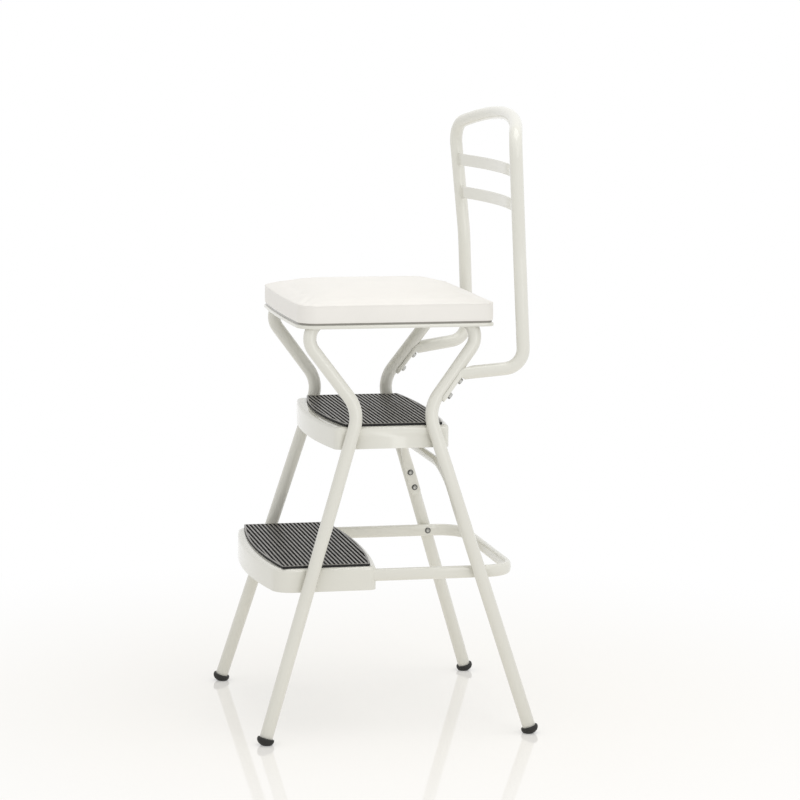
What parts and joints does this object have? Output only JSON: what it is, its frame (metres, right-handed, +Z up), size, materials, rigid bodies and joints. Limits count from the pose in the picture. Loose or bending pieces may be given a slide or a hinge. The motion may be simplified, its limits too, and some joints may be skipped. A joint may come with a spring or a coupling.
{
  "type": "step stool chair",
  "caption": "Counter-height chair with a padded lift-up seat, a tube backrest and ribbed steps between bent-tube side frames.",
  "frame": {"origin": "on the floor, midway between the four feet", "axes": "+Z up, +X to the sitter's left, -Y to the front where the steps are climbed"},
  "size_m": [0.4422, 0.4144, 0.9014],
  "materials": {
    "enamel": "warm white baked enamel, semi-gloss",
    "vinyl": "white upholstery vinyl, fine grain, soft sheen",
    "board": "bare hardboard, hidden under the padding",
    "tread_rubber": "black ribbed rubber, worn smooth on the rib tops",
    "tip_rubber": "black moulded rubber, matt",
    "plated_steel": "zinc-plated steel, dull bright"
  },
  "bodies": {
    "frame": {"side_frame_left": "enamel", "side_frame_right": "enamel", "rubber_tip_front_left": "tip_rubber", "rubber_tip_front_right": "tip_rubber", "rubber_tip_rear_left": "tip_rubber", "rubber_tip_rear_right": "tip_rubber", "upper_step_tray": "enamel", "upper_step_tread": "tread_rubber", "lower_step_tray": "enamel", "lower_step_tread": "tread_rubber", "upper_step_rivet_front_left": "plated_steel", "upper_step_rivet_front_right": "plated_steel", "upper_step_rivet_rear_left": "plated_steel", "upper_step_rivet_rear_right": "plated_steel", "lower_step_rivet_front_left": "plated_steel", "lower_step_rivet_front_right": "plated_steel", "u_bar_rivet_left": "plated_steel", "u_bar_rivet_right": "plated_steel", "arch_rivet_lower_left": "plated_steel", "arch_rivet_lower_right": "plated_steel", "arch_rivet_upper_left": "plated_steel", "arch_rivet_upper_right": "plated_steel", "rear_u_bar": "enamel", "rear_arch_brace": "enamel", "backrest_tube": "enamel", "backrest_slat_upper": "enamel", "backrest_slat_lower": "enamel", "backrest_bolt_lower_left": "plated_steel", "backrest_bolt_lower_right": "plated_steel", "backrest_bolt_upper_left": "plated_steel", "backrest_bolt_upper_right": "plated_steel", "hinge_bracket_left": "enamel", "hinge_bracket_right": "enamel", "hinge_pin_left": "plated_steel", "hinge_pin_right": "plated_steel"},
    "seat": {"seat_pan": "enamel", "seat_board": "board", "seat_cushion": "vinyl", "seat_ear_left": "enamel", "seat_ear_right": "enamel", "seat_bumper_front_left": "tip_rubber", "seat_bumper_front_right": "tip_rubber", "seat_bumper_rear_left": "tip_rubber", "seat_bumper_rear_right": "tip_rubber"}
  },
  "joints": [
    {"name": "seat_flip", "type": "hinge", "parent": "frame", "child": "seat", "pos_m": [0, 0.1372, 0.6], "axis": [-1, 0, 0], "range_deg": [0, 90]}
  ]
}
